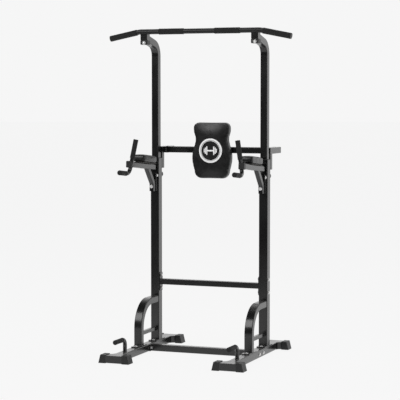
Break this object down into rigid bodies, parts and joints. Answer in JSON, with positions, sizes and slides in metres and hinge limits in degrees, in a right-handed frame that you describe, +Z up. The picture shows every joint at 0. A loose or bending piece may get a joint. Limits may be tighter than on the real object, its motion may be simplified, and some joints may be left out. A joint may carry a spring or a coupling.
{
  "type": "power tower",
  "caption": "Free-standing power tower: telescoping square posts with a bent pull-up bar, dip arms with pads and bent handles, back cushion and push-up handles.",
  "frame": {"origin": "on the floor under the middle of the whole tower", "axes": "+X to the right along the pull-up bar, +Y towards the back, +Z up"},
  "size_m": [1.0602, 0.826, 1.7955],
  "materials": {
    "black_steel": "gloss black powder coat",
    "black_plastic": "satin moulded plastic",
    "knob": "moulded knob on a steel pin",
    "foam": "closed-cell foam",
    "leatherette": "grained leatherette",
    "board": "black-faced plywood",
    "zinc": "bright zinc"
  },
  "bodies": {
    "frame": {"arm_bolts": "black_steel", "arm_brace_left": "black_steel", "arm_brace_right": "black_steel", "arm_mounts": "black_steel", "arm_pad_left": "leatherette", "arm_pad_right": "leatherette", "back_bar_bolts": "black_steel", "back_crossbar": "black_steel", "back_cushion": "leatherette", "base_crossbar": "black_steel", "base_rail_left": "black_steel", "base_rail_right": "black_steel", "brace_bolts": "zinc", "brace_shoes": "black_steel", "cushion_board": "board", "cushion_plate": "black_steel", "dip_arm_left": "black_steel", "dip_arm_right": "black_steel", "dip_handle_left": "black_steel", "dip_handle_right": "black_steel", "foot_caps": "black_plastic", "front_foot_left": "black_steel", "front_foot_right": "black_steel", "handle_clamps": "black_plastic", "lock_housings": "black_steel", "lower_handle_grips": "foam", "lower_post_left": "black_steel", "lower_post_right": "black_steel", "mid_crossbar": "black_steel", "pad_boards": "board", "plate_bolts": "zinc", "post_base_plates": "black_steel", "post_bushings": "black_plastic", "push_up_grips": "foam", "push_up_handle_left": "black_steel", "push_up_handle_right": "black_steel", "rear_bracket_left": "black_steel", "rear_bracket_right": "black_steel", "rear_foot_left": "black_steel", "rear_foot_right": "black_steel", "shoe_bolts": "zinc", "side_support_left": "black_steel", "side_support_right": "black_steel", "stub_caps": "black_plastic", "support_plates": "black_steel", "support_struts": "black_steel", "through_bolts": "zinc", "upper_handle_grips": "foam"},
    "upper_frame": {"bar_end_caps": "black_plastic", "bar_saddles": "black_steel", "inner_bar_grips": "foam", "neck_bolts": "zinc", "neck_plugs": "black_plastic", "outer_bar_grips": "foam", "post_glides": "black_plastic", "pull_up_bar": "black_steel", "upper_post_left": "black_steel", "upper_post_right": "black_steel"},
    "right_lock": {"pull_pin_right": "knob"},
    "left_lock": {"pull_pin_left": "knob"}
  },
  "joints": [
    {"name": "height_slide", "type": "slide", "parent": "frame", "child": "upper_frame", "axis": [0, 0, 1], "range_m": [0, 0.4]},
    {"name": "right_pin_slide", "type": "slide", "parent": "frame", "child": "right_lock", "axis": [0, -1, 0], "range_m": [0, 0.008]},
    {"name": "left_pin_slide", "type": "slide", "parent": "frame", "child": "left_lock", "axis": [0, -1, 0], "range_m": [0, 0.008]}
  ]
}
